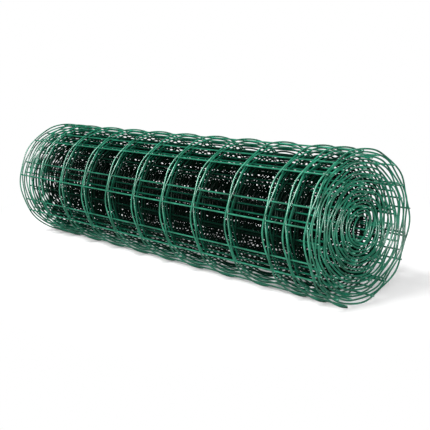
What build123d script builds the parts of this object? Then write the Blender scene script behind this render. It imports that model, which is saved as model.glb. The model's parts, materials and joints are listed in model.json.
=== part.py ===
from build123d import *
import math
import os

# A roll of welded wire fencing lying on its side. The roll's axis runs along X.
# Seen from the +X end, angles go round from the -Y side over the top, and the
# mesh is wound inwards that way round from its free outer end. Its cross wires
# are welded on the inner side of its line wires.
# All sizes are in millimetres.

# The mesh as it lies flat
mesh_width = 1000.0
wire_diameter = 3.2
side_stub = 5.5

# How it is wound
outer_radius = 141.9
turn_pitch = 6.2
bore_radius = 17.0
free_end_angle = 281.6

# How the turns show on the ends
turn_ridge_height = 3.0
plain_core_width = 6.0

QUARTER = 90.0
quarter_step = turn_pitch / 4
half_length = mesh_width / 2 + side_stub
ridge_turns = math.floor((outer_radius - bore_radius - plain_core_width) / turn_pitch)


def quarter_radius(quarter):
    """The line wire's radius in a quarter of the outer lap, from that quarter's own centre."""
    return outer_radius - quarter_step * quarter


def quarter_place(quarter):
    """Where a quarter's own centre is, and how far round the lap it starts."""
    turned = -QUARTER * quarter
    corner = Vector(0, -quarter_step / 2, -quarter_step / 2).rotate(Axis.X, turned)
    return Pos(corner) * Rot(X=turned)


def end_outline(lap_radius):
    """From the edge line wire's outer side to the end at +X, and across it a ridge for each turn."""
    points = [(mesh_width / 2, lap_radius + wire_diameter / 2)]
    for turn in range(ridge_turns):
        crest = lap_radius - turn_pitch * turn
        points.append((half_length, crest))
        points.append((half_length - turn_ridge_height, crest - turn_pitch / 2))
    points.append((half_length, lap_radius - turn_pitch * ridge_turns))
    return points


def winding_quarter(quarter):
    """A quarter turn of every lap, turned about its own corner of the winding's square of centres."""
    near_end = end_outline(quarter_radius(quarter))
    far_end = [(-x, radius) for x, radius in reversed(near_end)]
    inside = [(half_length, bore_radius / 2), (-half_length, bore_radius / 2)]
    outline = [(x, -radius) for x, radius in near_end + inside + far_end]
    section = make_face(Polyline(*outline, close=True))
    turned = revolve(section, axis=-Axis.X, revolution_arc=QUARTER)
    return quarter_place(quarter) * turned


def roll_of_mesh():
    """The roll about its own axis. Its free end is the step between the last and first quarters."""
    quarters = [winding_quarter(quarter) for quarter in range(4)]
    roll = quarters[0].fuse(*quarters[1:])
    roll -= Cylinder(bore_radius, 2 * half_length, rotation=(0, 90, 0))
    return Rot(X=-free_end_angle) * roll


roll = roll_of_mesh()
box = roll.bounding_box()
to_origin = Vector(-box.center().X, -box.center().Y, -box.min.Z)
print("axis of the bore at", to_origin)
print("turns with ridges", ridge_turns)
os.makedirs("parts", exist_ok=True)
export_step(Pos(to_origin) * roll, "parts/mesh_roll.step")
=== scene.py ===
"""A roll of green plastic-coated welded wire mesh, lying on its side on a pale studio floor.

The roll's axis runs along X. Seen from its end at +X, angles go round from the -Y side over
the top, and the mesh is wound inwards that way round from its free outer end. The mesh's cross
wires are welded on the inner side of its line wires. Lengths are in metres.
"""

import json
import logging
import math
import random
from bisect import bisect_right
from collections.abc import Iterable
from dataclasses import dataclass, field
from enum import Enum

import bmesh
import bpy
from mathutils import Matrix, Vector


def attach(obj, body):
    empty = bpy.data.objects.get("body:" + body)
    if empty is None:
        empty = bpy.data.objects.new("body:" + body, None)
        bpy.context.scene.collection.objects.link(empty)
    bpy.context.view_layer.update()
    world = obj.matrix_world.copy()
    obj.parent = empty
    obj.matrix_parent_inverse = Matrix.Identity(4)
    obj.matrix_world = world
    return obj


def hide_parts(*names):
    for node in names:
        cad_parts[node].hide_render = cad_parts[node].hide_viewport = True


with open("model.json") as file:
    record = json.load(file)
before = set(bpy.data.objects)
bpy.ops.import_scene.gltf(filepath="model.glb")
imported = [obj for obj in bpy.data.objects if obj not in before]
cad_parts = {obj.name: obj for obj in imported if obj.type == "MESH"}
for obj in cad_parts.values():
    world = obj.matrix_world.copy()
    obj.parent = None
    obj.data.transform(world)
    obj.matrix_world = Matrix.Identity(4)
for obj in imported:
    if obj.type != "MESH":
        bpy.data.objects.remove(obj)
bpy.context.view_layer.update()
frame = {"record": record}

BODY = "root"
CAD_ROLL = "mesh_roll"
FULL_TURN = 2 * math.pi

# A place, a direction or a linear colour
Triple = tuple[float, float, float]

log = logging.getLogger("wire_roll")


# The mesh as it lies flat


@dataclass(frozen=True)
class FlatMesh:
    """The welded mesh before it is rolled up, which gives every wire its place in it."""

    line_wire_places: tuple[float, ...] = (
        -0.5, -0.45, -0.4, -0.3, -0.2, -0.1, 0.0, 0.1, 0.2, 0.3, 0.4, 0.45, 0.5,
    )
    cell: float = 0.1
    cells_long: int = 100
    wire_radius: float = 0.0016
    end_stub: float = 0.009
    side_stub: float = 0.0054
    weld_set_in: float = 0.0005
    crimp: float = 0.0027

    @property
    def length(self) -> float:
        """From the cut tips of the line wires at one end of the mesh to those at the other."""
        return 2 * self.end_stub + self.cells_long * self.cell

    @property
    def half_width(self) -> float:
        """From the middle of the mesh to the tips of the cross wires."""
        return self.line_wire_places[-1] + self.side_stub

    @property
    def cross_wire_rise(self) -> float:
        """The rise of the cross wires' centres, negative because they lie inside the sheet."""
        return self.weld_set_in - 2 * self.wire_radius

    def cross_wire_lengths(self) -> list[float]:
        """How far along the mesh each cross wire is welded."""
        return [self.end_stub + self.cell * number for number in range(self.cells_long + 1)]

    def crimp_at(self, length: float) -> float:
        """The sideways wave that tensions the line wires, one wave to a cell.

        Args:
            length: How far along the mesh, from its outer end.

        Returns:
            How far the line wires are bent across the mesh there.
        """
        return self.crimp * math.sin(FULL_TURN * (length - self.end_stub) / self.cell)


# How it is wound


@dataclass(frozen=True)
class Unevenness:
    """The slight slackness of a roll wound by hand, as slow swells in the radius."""

    swells_per_turn: tuple[float, ...] = (0.43, 1.13, 1.71, 2.37)
    height: float = 0.00022
    least_share: float = 0.7
    largest_share: float = 1.3
    seed: int = 11

    def swells(self) -> list[Triple]:
        """Draws the swells.

        Returns:
            The rate, height and start of each one.
        """
        draw = random.Random(self.seed)
        shares = (self.least_share, self.largest_share)
        return [
            (rate, self.height * draw.uniform(*shares), draw.uniform(0, FULL_TURN))
            for rate in self.swells_per_turn
        ]


@dataclass
class Winding:
    """The spiral that the line wires follow, from the mesh's free end in to the core."""

    mesh: FlatMesh
    axis_y: float
    axis_z: float
    free_end: float = math.radians(281.6)
    outer_radius: float = 0.1424
    pitch: float = 0.006255
    core_squash: float = 0.0036
    core_squash_fades_in: float = 0.009
    core_long_way: float = math.radians(125.0)
    core_radius: float = 0.0174
    unevenness: Unevenness = field(default_factory=Unevenness)
    slack_sets_in: float = 1.0
    step: float = math.radians(1.0)
    # Shade is painted into the coating under the outer turn and in from the ends, deepening over
    # this depth
    skin_without_painted_shade: float = 0.006
    end_without_painted_shade: float = 0.0105
    painted_shade_depth: float = 0.0075

    def __post_init__(self) -> None:
        """Walks the spiral once, and notes the length used up by each angle."""
        self._swells = self.unevenness.swells()
        self._turned = [0.0]
        self._used = [0.0]
        while self._used[-1] < self.mesh.length:
            middle = self._turned[-1] + self.step / 2
            self._used.append(self._used[-1] + self.radius(middle) * self.step)
            self._turned.append(self._turned[-1] + self.step)

    def even_radius(self, turned: float) -> float:
        """The radius of a neatly wound roll, as far round as this.

        Args:
            turned: The angle wound through since the free end.

        Returns:
            The line wires' radius there.
        """
        return self.outer_radius - self.pitch * turned / FULL_TURN

    def radius(self, turned: float) -> float:
        """The line wires' radius, with the roll's slackness and its squashed core.

        Args:
            turned: The angle wound through since the free end.

        Returns:
            The radius of the line wires' centres there.
        """
        even = self.even_radius(turned)
        slack = sum(
            height * math.sin(rate * turned + start) for rate, height, start in self._swells
        )
        squash = self.core_squash * math.exp((self.core_radius - even) / self.core_squash_fades_in)
        lean = math.cos(2 * (self.free_end + turned - self.core_long_way))
        return even + slack * min(turned / self.slack_sets_in, 1.0) + squash * lean

    def turned(self, length: float) -> float:
        """The angle wound through when this much mesh is used up.

        Args:
            length: How far along the mesh, from its outer end.

        Returns:
            The angle since the free end.
        """
        after = min(max(bisect_right(self._used, length), 1), len(self._used) - 1)
        start, end = self._used[after - 1], self._used[after]
        share = (length - start) / (end - start)
        return self._turned[after - 1] + share * self.step

    def place(self, length: float, across: float, rise: float = 0.0) -> Vector:
        """Where a point of the flat mesh comes to lie in the roll.

        Args:
            length: How far along the mesh, from its outer end.
            across: How far across the mesh from its middle.
            rise: How far outside the line wires' sheet.

        Returns:
            The point in the shared frame.
        """
        turned = self.turned(length)
        angle = self.free_end + turned
        radius = self.radius(turned) + rise
        return Vector((
            across,
            self.axis_y - radius * math.cos(angle),
            self.axis_z + radius * math.sin(angle),
        ))

    def painted_shade_openness(self, point: Vector) -> float:
        """How open the roll lies at a point, which sets how much shade is painted into its
        coating.

        Args:
            point: A point on a wire.

        Returns:
            One on the outermost turn and at both ends, falling towards nothing deeper in.
        """
        up, back = point.z - self.axis_z, point.y - self.axis_y
        turned = (math.atan2(up, -back) - self.free_end) % FULL_TURN
        from_skin = self.radius(turned) - math.hypot(up, back) - self.skin_without_painted_shade
        from_end = self.mesh.half_width - abs(point.x) - self.end_without_painted_shade
        # The painted shade darkens with depth under the outer turn or in from the nearer end
        return math.exp(-max(min(from_skin, from_end), 0.0) / self.painted_shade_depth)

    def lengths(self, turn_step: float, cell_steps: int) -> list[float]:
        """Stations along the whole mesh, close enough to draw a line wire smoothly.

        Args:
            turn_step: The largest angle between two stations.
            cell_steps: The fewest stations to a cell, where the turns are wide.

        Returns:
            Lengths from the outer end to the inner one.
        """
        widest = self.mesh.cell / cell_steps
        stations = [0.0]
        while stations[-1] < self.mesh.length:
            radius = self.radius(self.turned(stations[-1]))
            stations.append(stations[-1] + min(widest, radius * turn_step))
        stations[-1] = self.mesh.length
        return stations


# Finishes

# The attribute that sets how much shade is painted into each point
PAINTED_SHADE_OPENNESS = "painted_shade_openness"

# Nearly all the values of a noise pattern lie between these two
LOW_NOISE, HIGH_NOISE = 0.3, 0.7

# The numbers of a Mix node's sockets for colours
COLOUR_A, COLOUR_B, COLOUR_RESULT = 6, 7, 2


class NodeSheet:
    """The node tree of one material, with short ways to add the nodes that the finishes share."""

    def __init__(self, name: str) -> None:
        """Starts a material with one Principled shader.

        Args:
            name: The material's name.
        """
        self.material = bpy.data.materials.new(name)
        self.material.use_nodes = True
        self.nodes = self.material.node_tree.nodes
        self.links = self.material.node_tree.links
        self.shader = self.nodes["Principled BSDF"]
        self.place = self.nodes.new("ShaderNodeTexCoord").outputs["Object"]

    def noise(self, scale: float, detail: float) -> bpy.types.NodeSocket:
        """A noise pattern on the piece's own coordinates.

        Args:
            scale: Patches to a metre.
            detail: How many finer layers it has.

        Returns:
            The noise's value.
        """
        node = self.nodes.new("ShaderNodeTexNoise")
        node.inputs["Scale"].default_value = scale
        node.inputs["Detail"].default_value = detail
        self.links.new(self.place, node.inputs["Vector"])
        return node.outputs["Fac"]

    def spread(
        self, value: bpy.types.NodeSocket, low: float, high: float
    ) -> bpy.types.NodeSocket:
        """A noise value stretched between two bounds.

        Args:
            value: The noise.
            low: What a low noise value becomes.
            high: What a high noise value becomes.

        Returns:
            The stretched value.
        """
        node = self.nodes.new("ShaderNodeMapRange")
        node.inputs["From Min"].default_value = LOW_NOISE
        node.inputs["From Max"].default_value = HIGH_NOISE
        node.inputs["To Min"].default_value = low
        node.inputs["To Max"].default_value = high
        self.links.new(value, node.inputs["Value"])
        return node.outputs["Result"]

    def ramp(
        self, value: bpy.types.NodeSocket, colours: Iterable[tuple[float, Triple]]
    ) -> bpy.types.NodeSocket:
        """A colour for each value.

        Args:
            value: What picks the colour.
            colours: Positions along the ramp and their linear colours.

        Returns:
            The colour.
        """
        node = self.nodes.new("ShaderNodeValToRGB")
        stops = list(colours)
        elements = node.color_ramp.elements
        while len(elements) < len(stops):
            elements.new(0.5)
        for element, (position, colour) in zip(elements, stops):
            element.position = position
            element.color = (*colour, 1.0)
        self.links.new(value, node.inputs["Fac"])
        return node.outputs["Color"]

    def paint_inner_shade(self, outer: bpy.types.NodeSocket, inner: Triple) -> bpy.types.NodeSocket:
        """A colour with shade painted in, darker towards the inside of the roll.

        Args:
            outer: The colour where the roll lies open.
            inner: The linear colour of the painted shade deep inside.

        Returns:
            The colour.
        """
        node = self.nodes.new("ShaderNodeMix")
        node.data_type = "RGBA"
        node.inputs[COLOUR_A].default_value = (*inner, 1.0)
        self.links.new(self._painted_shade_openness(), node.inputs["Factor"])
        self.links.new(outer, node.inputs[COLOUR_B])
        return node.outputs[COLOUR_RESULT]

    def _painted_shade_openness(self) -> bpy.types.NodeSocket:
        """Reads how open the roll lies at a point for the painted shade, which every piece
        carries.

        Returns:
            One where it lies open, and towards nothing deep inside.
        """
        node = self.nodes.new("ShaderNodeAttribute")
        node.attribute_name = PAINTED_SHADE_OPENNESS
        return node.outputs["Fac"]

    def bump(
        self,
        height: bpy.types.NodeSocket,
        depth: float,
        under: bpy.types.NodeSocket | None = None,
    ) -> bpy.types.NodeSocket:
        """A bumpy surface.

        Args:
            height: The relief.
            depth: Its depth in metres.
            under: The normal of a coarser relief below it.

        Returns:
            The bumped normal.
        """
        node = self.nodes.new("ShaderNodeBump")
        node.inputs["Strength"].default_value = 1.0
        node.inputs["Distance"].default_value = depth
        self.links.new(height, node.inputs["Height"])
        if under is not None:
            self.links.new(under, node.inputs["Normal"])
        return node.outputs["Normal"]


@dataclass(frozen=True)
class CoatedWireFinish:
    """Semi-gloss green plastic, dipped over the wire, thicker in some places than in others."""

    deep_green: Triple = (0.005, 0.086, 0.047)
    mid_green: Triple = (0.009, 0.132, 0.075)
    thin_green: Triple = (0.020, 0.195, 0.118)
    # Painted shade: the near-black green that the coating turns to deep inside the roll
    painted_shade_green: Triple = (0.0, 0.002, 0.001)
    thickness_stops: Triple = (0.32, 0.5, 0.68)
    thickness_scale: float = 45.0
    gloss_scale: float = 160.0
    glossiest: float = 0.26
    dullest: float = 0.4
    run_scale: float = 260.0
    run_depth: float = 0.00018
    skin_scale: float = 2600.0
    skin_depth: float = 0.00002
    ior: float = 1.5
    # The open coating's shine, and the weak shine of its copy with painted shade deep inside
    open_shine: float = 1.0
    painted_shade_shine: float = 0.08

    def material(self, name: str, shine: float) -> bpy.types.Material:
        """The finish as a procedural material.

        Args:
            name: The material's name.
            shine: Its specular level, where one half is plain plastic.

        Returns:
            The material.
        """
        sheet = NodeSheet(name)
        sheet.shader.inputs["IOR"].default_value = self.ior
        sheet.shader.inputs["Specular IOR Level"].default_value = shine
        thickness = sheet.noise(scale=self.thickness_scale, detail=4.0)
        greens = (self.deep_green, self.mid_green, self.thin_green)
        colour = sheet.ramp(thickness, zip(self.thickness_stops, greens))
        # Shade is painted into the colour towards the inside of the roll
        sheet.links.new(sheet.paint_inner_shade(colour, self.painted_shade_green), sheet.shader.inputs["Base Color"])
        dullness = sheet.noise(scale=self.gloss_scale, detail=3.0)
        roughness = sheet.spread(dullness, self.glossiest, self.dullest)
        sheet.links.new(roughness, sheet.shader.inputs["Roughness"])
        runs = sheet.bump(sheet.noise(scale=self.run_scale, detail=2.0), self.run_depth)
        skin = sheet.noise(scale=self.skin_scale, detail=2.0)
        surface = sheet.bump(skin, self.skin_depth, under=runs)
        sheet.links.new(surface, sheet.shader.inputs["Normal"])
        return sheet.material


@dataclass(frozen=True)
class Finishes:
    """What the wires are finished with, in the order of their faces' material numbers."""

    coating: bpy.types.Material
    # A copy with a weak shine, part of the shade painted deep inside the roll
    painted_shade_coating: bpy.types.Material

    @classmethod
    def mix(cls) -> "Finishes":
        """Makes both finishes.

        Returns:
            The finishes.
        """
        green = CoatedWireFinish()
        return cls(
            green.material("green_plastic_coating", green.open_shine),
            # The second has painted shade: a weak shine on the faces deep inside
            green.material("green_plastic_coating_painted_shade", green.painted_shade_shine),
        )


# Making pieces

# Faces less open than this have the coating's copy with painted shade, the second of a piece's two
# materials
PAINTED_SHADE_FACES_BELOW = 0.6
PAINTED_SHADE_FACE = 1


def finish_piece(
    name: str, shape: bmesh.types.BMesh, winding: Winding, finishes: Finishes
) -> bpy.types.Object:
    """Turns a finished bmesh into a piece of the roll.

    Args:
        name: The piece's name.
        shape: Its closed shape, in the shared frame, which is freed.
        winding: The roll, which says how open each point of it lies, for the painted shade.
        finishes: What it is finished with.

    Returns:
        The piece, riding on the roll's one body.
    """
    bmesh.ops.recalc_face_normals(shape, faces=shape.faces)
    data = bpy.data.meshes.new(name)
    shape.to_mesh(data)
    shape.free()
    # Shade is painted by how open each point lies, and faces deep inside get the copy with painted
    # shade
    painted_shade_openness = [winding.painted_shade_openness(vertex.co) for vertex in data.vertices]
    data.attributes.new(PAINTED_SHADE_OPENNESS, "FLOAT", "POINT").data.foreach_set("value", painted_shade_openness)
    for face in data.polygons:
        if painted_shade_openness[face.vertices[0]] < PAINTED_SHADE_FACES_BELOW:
            face.material_index = PAINTED_SHADE_FACE
    for material in (finishes.coating, finishes.painted_shade_coating):
        data.materials.append(material)
    piece = bpy.data.objects.new(name, data)
    bpy.context.scene.collection.objects.link(piece)
    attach(piece, BODY)
    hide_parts(CAD_ROLL)
    log.info("%s: %d faces", name, len(data.polygons))
    return piece


@dataclass(frozen=True)
class WireDrawer:
    """Draws round wire with plain flat tips along paths of points."""

    radius: float
    sides: int = 10
    merge_distance: float = 1e-6

    def draw(self, paths: Iterable[list[Vector]]) -> bmesh.types.BMesh:
        """Makes one closed wire along each path.

        Args:
            paths: The centres of the wires, tip to tip.

        Returns:
            All the wires in one bmesh, shaded smooth all over.
        """
        curve = bpy.data.curves.new("wire_path", "CURVE")
        curve.dimensions = "3D"
        curve.bevel_depth = self.radius
        # A bevel has four sides, and two more for each step of its resolution
        curve.bevel_resolution = (self.sides - 4) // 2
        curve.use_fill_caps = True
        for path in paths:
            spline = curve.splines.new("POLY")
            spline.points.add(len(path) - 1)
            spline.points.foreach_set("co", [value for point in path for value in (*point, 1.0)])
        holder = bpy.data.objects.new("wire_path", curve)
        drawn = bpy.data.meshes.new_from_object(holder)
        shape = bmesh.new()
        shape.from_mesh(drawn)
        bpy.data.objects.remove(holder)
        bpy.data.curves.remove(curve)
        bpy.data.meshes.remove(drawn)
        bmesh.ops.remove_doubles(shape, verts=shape.verts, dist=self.merge_distance)
        for face in shape.faces:
            face.smooth = True
        return shape


# The parts of the mesh


@dataclass
class LineWires:
    """The wires that run the whole length of the mesh, side by side round the roll."""

    winding: Winding
    drawer: WireDrawer
    turn_step: float = math.radians(6.0)
    cell_steps: int = 12

    def path(self, across: float, stations: list[float]) -> list[Vector]:
        """The line of one wire, from the free end in to the core.

        Args:
            across: Where the wire runs, from the middle of the mesh.
            stations: How far along the mesh each point is.

        Returns:
            The wire's centres.
        """
        crimp_at = self.winding.mesh.crimp_at
        return [self.winding.place(length, across + crimp_at(length)) for length in stations]

    def build(self, finishes: Finishes) -> None:
        """Makes each wire a piece of its own.

        Args:
            finishes: What the wires are finished with.
        """
        stations = self.winding.lengths(self.turn_step, self.cell_steps)
        for number, across in enumerate(self.winding.mesh.line_wire_places, start=1):
            shape = self.drawer.draw([self.path(across, stations)])
            finish_piece(f"line_wire_{number:02d}", shape, self.winding, finishes)


class Depth(Enum):
    """How deep some cross wires and welds lie, as their first number and the next group's."""

    OUTER_TURNS = (0, 26)
    MIDDLE_TURNS = (26, 58)
    INNER_TURNS = (58, 101)

    def pick(self, lengths: list[float]) -> list[float]:
        """The cross wires' places at this depth, out of all of them."""
        first, end = self.value
        return lengths[first:end]


@dataclass
class CrossWires:
    """The straight wires across the mesh, welded on the inner side of the line wires."""

    winding: Winding
    drawer: WireDrawer

    def path(self, length: float) -> list[Vector]:
        """The line of one wire, from tip to tip.

        Args:
            length: How far along the mesh it is welded.

        Returns:
            The wire's centres.
        """
        mesh = self.winding.mesh
        places = (-mesh.half_width, *mesh.line_wire_places, mesh.half_width)
        return [self.winding.place(length, across, mesh.cross_wire_rise) for across in places]

    def build(self, finishes: Finishes) -> None:
        """Makes the wires at each depth one piece.

        Args:
            finishes: What the wires are finished with.
        """
        lengths = self.winding.mesh.cross_wire_lengths()
        for depth in Depth:
            paths = [self.path(length) for length in depth.pick(lengths)]
            shape = self.drawer.draw(paths)
            finish_piece(f"cross_wires_{depth.name.lower()}", shape, self.winding, finishes)


@dataclass
class Welds:
    """The drops of plastic that fill the corners where a cross wire is welded to a line wire."""

    winding: Winding
    width: float = 0.0041
    thickness: float = 0.0036
    unevenness: float = 0.12
    segments_round: int = 8
    segments_high: int = 4
    seed: int = 5

    def build(self, finishes: Finishes) -> None:
        """Makes the drops at each depth one piece.

        Args:
            finishes: What the drops are finished with.
        """
        draw = random.Random(self.seed)
        mesh = self.winding.mesh
        drop = self._drop()
        for depth in Depth:
            shape = bmesh.new()
            for length in depth.pick(mesh.cross_wire_lengths()):
                for across in mesh.line_wire_places:
                    self._add(shape, drop, length, across, draw)
            finish_piece(f"weld_drops_{depth.name.lower()}", shape, self.winding, finishes)
        bpy.data.meshes.remove(drop)

    def _drop(self) -> bpy.types.Mesh:
        """Makes the pattern that every drop is stretched from.

        Returns:
            A round drop with few faces, one metre across, at the origin.
        """
        shape = bmesh.new()
        bmesh.ops.create_uvsphere(
            shape, u_segments=self.segments_round, v_segments=self.segments_high, radius=0.5
        )
        for face in shape.faces:
            face.smooth = True
        drop = bpy.data.meshes.new("weld_drop")
        shape.to_mesh(drop)
        shape.free()
        return drop

    def _add(
        self,
        shape: bmesh.types.BMesh,
        drop: bpy.types.Mesh,
        length: float,
        across: float,
        draw: random.Random,
    ) -> None:
        """Adds one drop where two wires cross.

        Args:
            shape: The drops so far.
            drop: The pattern to repeat.
            length: How far along the mesh the crossing is.
            across: How far across it.
            draw: Where the drops' slight differences come from.
        """
        place = self.winding.place
        centre = place(length, across, self.winding.mesh.cross_wire_rise / 2)
        outward = (place(length, across, 1.0) - place(length, across, 0.0)).normalized()
        turn = Vector((0.0, 0.0, 1.0)).rotation_difference(outward).to_matrix().to_4x4()
        wide = self.width * (1 + draw.uniform(-self.unevenness, self.unevenness))
        stretch = Matrix.Diagonal((wide, wide, self.thickness, 1.0))
        placed = Matrix.Translation(centre) @ turn @ stretch
        drop.transform(placed)
        shape.from_mesh(drop)
        drop.transform(placed.inverted())


# The studio

WHITE = (1.0, 1.0, 1.0, 1.0)


def grey(level: float) -> tuple[float, float, float, float]:
    """A plain grey of this linear level."""
    return (level, level, level, 1.0)


def mix_shaders(
    tree: bpy.types.NodeTree,
    share: bpy.types.NodeSocket,
    first: bpy.types.NodeSocket,
    second: bpy.types.NodeSocket,
) -> bpy.types.NodeSocket:
    """Mixes two shaders.

    Args:
        tree: The node tree that they are in.
        share: How much of the second one shows.
        first: The shader where the share is nothing.
        second: The shader where the share is one.

    Returns:
        The mix of the two.
    """
    mix = tree.nodes.new("ShaderNodeMixShader")
    for source, socket in zip((share, first, second), mix.inputs):
        tree.links.new(source, socket)
    return mix.outputs["Shader"]


def camera_sees(
    tree: bpy.types.NodeTree, shown: bpy.types.NodeSocket, other: bpy.types.NodeSocket
) -> bpy.types.NodeSocket:
    """One shader for what a camera sees, and another for the light that goes round.

    Args:
        tree: The node tree that both are in.
        shown: The shader for the camera.
        other: The shader for every other ray.

    Returns:
        The mix of the two.
    """
    light_path = tree.nodes.new("ShaderNodeLightPath")
    return mix_shaders(tree, light_path.outputs["Is Camera Ray"], other, shown)


@dataclass(frozen=True)
class Softbox:
    """A large soft lamp."""

    name: str
    place: Triple
    aim: Triple
    size: float
    power: float

    def build(self) -> None:
        """Hangs the lamp."""
        data = bpy.data.lights.new(self.name, "AREA")
        data.shape = "SQUARE"
        data.size = self.size
        data.energy = self.power
        lamp = bpy.data.objects.new(self.name, data)
        lamp.location = self.place
        lamp.rotation_mode = "QUATERNION"
        towards = Vector(self.aim) - Vector(self.place)
        lamp.rotation_quaternion = towards.to_track_quat("-Z", "Y")
        bpy.context.scene.collection.objects.link(lamp)


@dataclass(frozen=True)
class Studio:
    """A pale floor that runs out into white, plain soft lamps, and the camera.

    The floor keeps the roll's shadow inside an oval of paper. The oval reaches further on the
    side away from the front lamps, where the shadow falls.
    """

    floor_size: float = 30.0
    paper_grey: float = 0.95
    paper_roughness: float = 0.9
    bounce_grey: float = 0.2
    oval_centre: Triple = (-0.3, 0.42, 0.0)
    oval_turn: float = math.radians(139.6)
    oval_reach: Triple = (1.2, 0.72, 1.0)
    fade_from: float = 0.62
    world_strength: float = 0.03
    lamps: tuple[Softbox, ...] = (
        Softbox("front_softbox", (2.09, -1.78, 0.85), (0.1, 0.0, 0.14), 0.7, 80.0),
        Softbox("left_softbox", (0.15, -1.75, 1.9), (0.0, 0.0, 0.14), 0.9, 105.0),
        Softbox("back_softbox", (-0.5, 2.1, 1.9), (0.0, 0.0, 0.14), 1.4, 32.0),
    )
    camera_place: Triple = (1.4117, -1.10865, 0.40068)
    camera_aim: Triple = (-0.7517, 0.6387, -0.1649)
    lens: float = 68.46

    def build(self) -> None:
        """Lays the floor, lights it and sets up the camera."""
        self._lay_floor()
        self._light_world()
        for lamp in self.lamps:
            lamp.build()
        self._set_camera()
        bpy.context.scene.view_settings.view_transform = "Standard"

    def _lay_floor(self) -> None:
        """A wide level sheet under the roll, part of the studio."""
        shape = bmesh.new()
        bmesh.ops.create_grid(shape, x_segments=1, y_segments=1, size=self.floor_size / 2)
        data = bpy.data.meshes.new("studio_floor")
        shape.to_mesh(data)
        shape.free()
        data.materials.append(self._floor_material())
        floor = bpy.data.objects.new("studio_floor", data)
        bpy.context.scene.collection.objects.link(floor)

    def _floor_material(self) -> bpy.types.Material:
        """Pale paper near the roll, which a camera sees turn into plain white further out.

        Returns:
            The material.
        """
        material = bpy.data.materials.new("studio_floor")
        material.use_nodes = True
        tree = material.node_tree
        paper = tree.nodes["Principled BSDF"]
        paper.inputs["Base Color"].default_value = grey(self.paper_grey)
        paper.inputs["Roughness"].default_value = self.paper_roughness
        paper.inputs["Specular IOR Level"].default_value = 0.0
        bounce = tree.nodes.new("ShaderNodeBsdfDiffuse")
        bounce.inputs["Color"].default_value = grey(self.bounce_grey)
        white = tree.nodes.new("ShaderNodeEmission")
        share = self._share_run_out(tree)
        run_out = mix_shaders(tree, share, paper.outputs["BSDF"], white.outputs["Emission"])
        surface = camera_sees(tree, run_out, bounce.outputs["BSDF"])
        tree.links.new(surface, tree.nodes["Material Output"].inputs["Surface"])
        return material

    def _share_run_out(self, tree: bpy.types.NodeTree) -> bpy.types.NodeSocket:
        """How much of the paper has run out into white.

        Args:
            tree: The floor's node tree.

        Returns:
            Nothing near the middle of the paper's oval, and one from its rim outwards.
        """
        oval = tree.nodes.new("ShaderNodeMapping")
        oval.vector_type = "TEXTURE"
        oval.inputs["Location"].default_value = self.oval_centre
        oval.inputs["Rotation"].default_value = (0.0, 0.0, self.oval_turn)
        oval.inputs["Scale"].default_value = self.oval_reach
        place = tree.nodes.new("ShaderNodeTexCoord").outputs["Object"]
        tree.links.new(place, oval.inputs["Vector"])
        distance = tree.nodes.new("ShaderNodeVectorMath")
        distance.operation = "LENGTH"
        tree.links.new(oval.outputs["Vector"], distance.inputs[0])
        fade = tree.nodes.new("ShaderNodeMapRange")
        fade.interpolation_type = "SMOOTHSTEP"
        fade.inputs["From Min"].default_value = self.fade_from
        fade.inputs["From Max"].default_value = 1.0
        tree.links.new(distance.outputs["Value"], fade.inputs["Value"])
        return fade.outputs["Result"]

    def _light_world(self) -> None:
        """Even light from all round, which a camera sees as plain white."""
        world = bpy.data.worlds.new("studio_surround")
        world.use_nodes = True
        tree = world.node_tree
        soft = tree.nodes["Background"]
        soft.inputs["Color"].default_value = WHITE
        soft.inputs["Strength"].default_value = self.world_strength
        white = tree.nodes.new("ShaderNodeBackground")
        white.inputs["Color"].default_value = WHITE
        surround = camera_sees(tree, white.outputs["Background"], soft.outputs["Background"])
        tree.links.new(surround, tree.nodes["World Output"].inputs["Surface"])
        bpy.context.scene.world = world

    def _set_camera(self) -> None:
        """The camera at the photograph's place and angle."""
        data = bpy.data.cameras.new("camera")
        data.lens = self.lens
        camera = bpy.data.objects.new("camera", data)
        camera.location = self.camera_place
        camera.rotation_mode = "QUATERNION"
        camera.rotation_quaternion = Vector(self.camera_aim).to_track_quat("-Z", "Y")
        bpy.context.scene.collection.objects.link(camera)
        bpy.context.scene.camera = camera


# Putting it together


def roll_axis() -> tuple[float, float]:
    """The y and z of the roll's axis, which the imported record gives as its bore."""
    bore = next(mount for mount in frame["record"]["mounts"] if mount["name"] == "core_bore")
    return bore["pos_m"][1], bore["pos_m"][2]


def main() -> None:
    """Builds the roll and the studio."""
    logging.basicConfig(level=logging.INFO, format="%(name)s: %(message)s")
    mesh = FlatMesh()
    winding = Winding(mesh, *roll_axis())
    drawer = WireDrawer(mesh.wire_radius)
    finishes = Finishes.mix()
    LineWires(winding, drawer).build(finishes)
    CrossWires(winding, drawer).build(finishes)
    Welds(winding).build(finishes)
    Studio().build()


if __name__ == "__main__":
    main()
